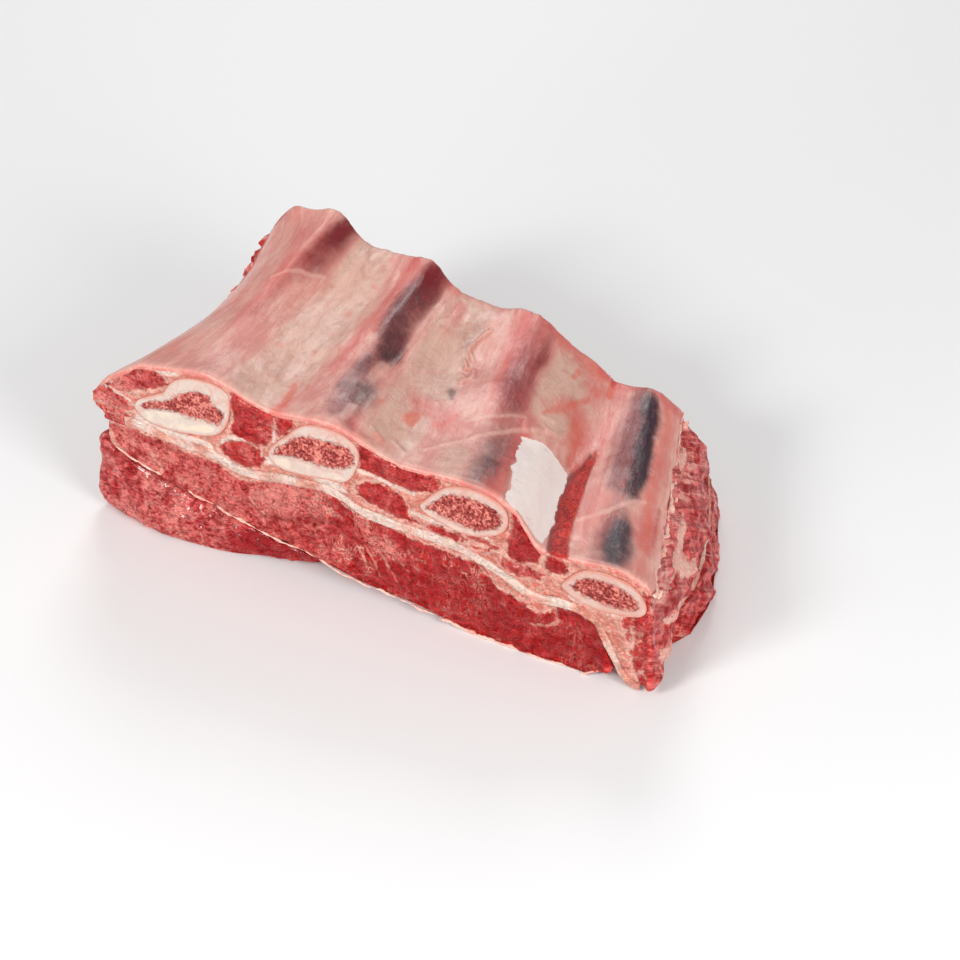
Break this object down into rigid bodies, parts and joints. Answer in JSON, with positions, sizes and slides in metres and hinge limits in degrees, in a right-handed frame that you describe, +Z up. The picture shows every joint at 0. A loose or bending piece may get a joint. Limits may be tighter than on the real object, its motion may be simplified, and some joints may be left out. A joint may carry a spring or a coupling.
{
  "type": "raw beef rib slab",
  "caption": "Raw beef short rib slab lying bone side up: rib bones and marrow in rib meat, over a fat seam, a thick plate muscle and an under muscle.",
  "frame": {"origin": "centre of the bounding box, on the table that the slab lies on", "axes": "+X along the near cut, from the thick end with the large bone to the thin end; +Y along the ribs, from the near cut to the far cut; +Z up, out of the bone side"},
  "size_m": [0.2248, 0.1112, 0.0815],
  "materials": {
    "rib_meat": "raw red meat, moist; pink translucent membrane over the bone side",
    "fat_seam": "pale pink raw fat, slightly waxy",
    "plate_muscle": "raw red muscle with fine white marbling, moist",
    "under_muscle": "raw red muscle, coarse grained, moist",
    "rib_bone": "sawn cream white bone",
    "bone_core": "spongy red brown marrow bone, rough"
  },
  "bodies": {
    "root": {"rib_meat": "rib_meat", "fat_seam": "fat_seam", "plate_muscle": "plate_muscle", "under_muscle": "under_muscle", "rib_bone_1": "rib_bone", "rib_bone_2": "rib_bone", "rib_bone_3": "rib_bone", "rib_bone_4": "rib_bone", "bone_core_1": "bone_core", "bone_core_2": "bone_core", "bone_core_3": "bone_core", "bone_core_4": "bone_core"}
  },
  "joints": []
}
